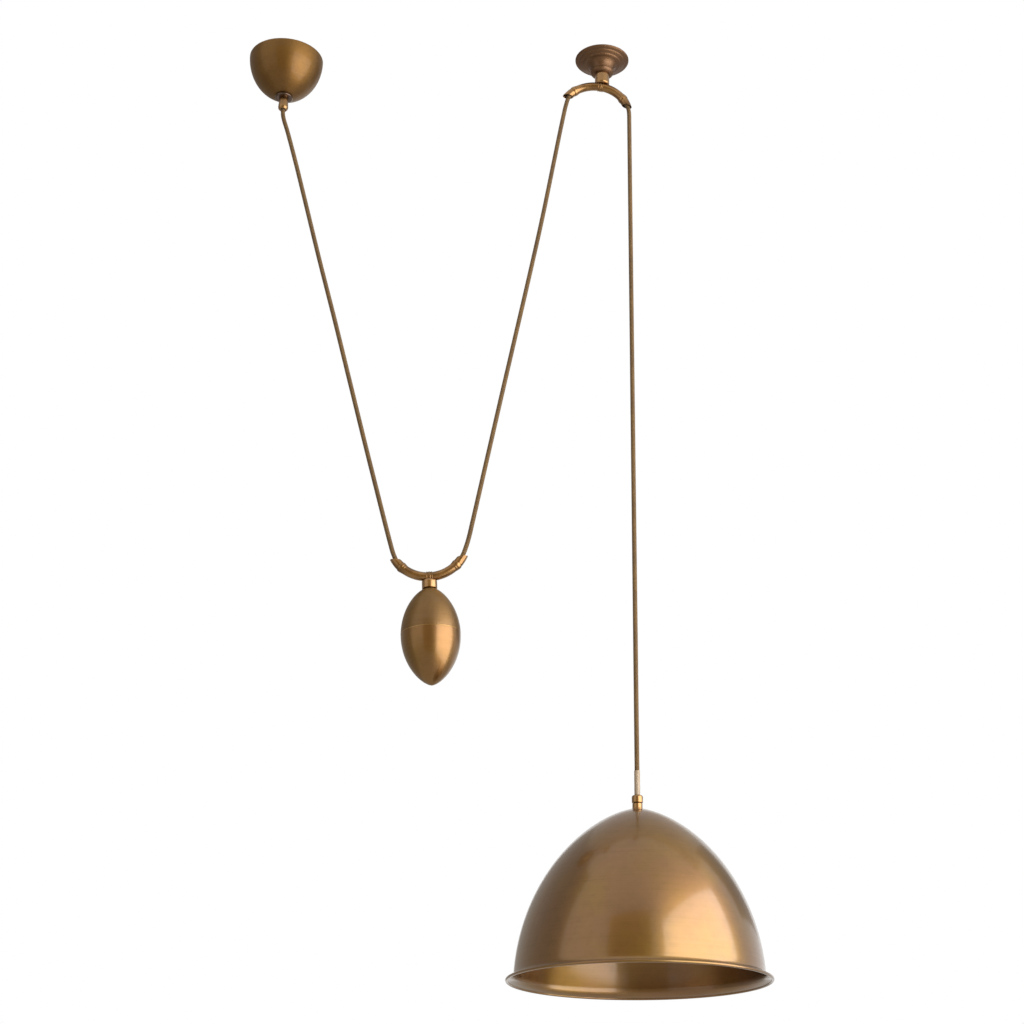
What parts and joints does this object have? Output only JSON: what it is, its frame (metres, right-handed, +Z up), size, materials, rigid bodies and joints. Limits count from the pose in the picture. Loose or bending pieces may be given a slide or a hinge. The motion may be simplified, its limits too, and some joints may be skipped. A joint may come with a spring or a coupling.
{
  "type": "rise and fall pendant light",
  "caption": "Rise and fall pendant light: a brass dome shade balanced by an egg-shaped counterweight on one braided flex that runs through curved guide tubes.",
  "frame": {"origin": "centre of the hook plate's screw circle, on the ceiling plane", "axes": "+Z up out of the ceiling face, +X from the canopy towards the shade, +Y away from the viewer of the picture"},
  "size_m": [0.8905, 0.3999, 1.648],
  "materials": {
    "aged_brass": "aged, circular brushing, lacquered",
    "raw_brass": "aged, brighter",
    "bronze": "dark bronze, satin",
    "zinc_steel": "zinc plated",
    "cast_iron": "as cast",
    "braided_flex": "braided cotton",
    "clear_sleeve": "clear",
    "porcelain": "glazed",
    "terminal_plastic": "moulded",
    "earth_green": "painted"
  },
  "bodies": {
    "ceiling": {"canopy_strap": "zinc_steel", "canopy_side_screws": "raw_brass", "terminal_block": "terminal_plastic", "terminal_screws": "raw_brass", "earth_screw": "earth_green", "canopy": "aged_brass", "canopy_flange": "bronze", "cord_grip": "raw_brass", "cord_grip_locknut": "zinc_steel", "cord_grip_screw": "zinc_steel", "canopy_tail": "braided_flex", "hook_plate": "zinc_steel", "hook_stem": "raw_brass", "hook_locknut": "zinc_steel", "hook_cup": "bronze", "hook_ring_nut": "bronze", "hook_neck": "raw_brass", "pivot_pin": "zinc_steel", "canopy_flex": "braided_flex", "return_flex": "braided_flex", "drop_flex": "braided_flex"},
    "arch": {"arch_tube": "raw_brass", "arch_band": "raw_brass", "arch_ferrule_left": "raw_brass", "arch_ferrule_right": "raw_brass", "arch_flex": "braided_flex"},
    "counterweight": {"weight_tube": "raw_brass", "weight_band": "raw_brass", "weight_ferrule_left": "raw_brass", "weight_ferrule_right": "raw_brass", "weight_flex": "braided_flex", "weight_neck": "raw_brass", "egg_upper": "aged_brass", "egg_lower": "aged_brass", "egg_seam_ring": "raw_brass", "egg_rod": "zinc_steel", "egg_ballast": "cast_iron", "egg_washer": "zinc_steel", "egg_nut": "zinc_steel"},
    "shade_group": {"shade": "aged_brass", "shade_nipple": "raw_brass", "shade_locknut": "zinc_steel", "grip_cap": "raw_brass", "grip_body": "raw_brass", "grip_screw": "zinc_steel", "flex_sleeve": "clear_sleeve", "shade_flex": "braided_flex", "lampholder_cap": "aged_brass", "lampholder_shell": "aged_brass", "lampholder_insulator": "porcelain", "lamp_thread": "raw_brass", "lamp_contact": "raw_brass"}
  },
  "joints": [
    {"name": "counterweight_travel", "type": "slide", "parent": "ceiling", "child": "counterweight", "axis": [0, 0, 1], "range_m": [-0.18, 0.2], "deforming": ["canopy_flex", "return_flex"]},
    {"name": "shade_travel", "type": "slide", "parent": "ceiling", "child": "shade_group", "axis": [0, 0, 1], "range_m": [-0.39, 0.351], "deforming": ["drop_flex"]},
    {"name": "arch_swivel", "type": "hinge", "parent": "ceiling", "child": "arch", "pos_m": [0, 0, -0.045], "axis": [0, 1, 0], "range_deg": [-1.24, 1.38], "deforming": ["return_flex", "drop_flex"]}
  ],
  "couplings": [
    {"joint": "shade_travel", "follows": "counterweight_travel", "ratio": -1.95},
    {"joint": "arch_swivel", "follows": "counterweight_travel", "rad_per_m": 0.12}
  ]
}
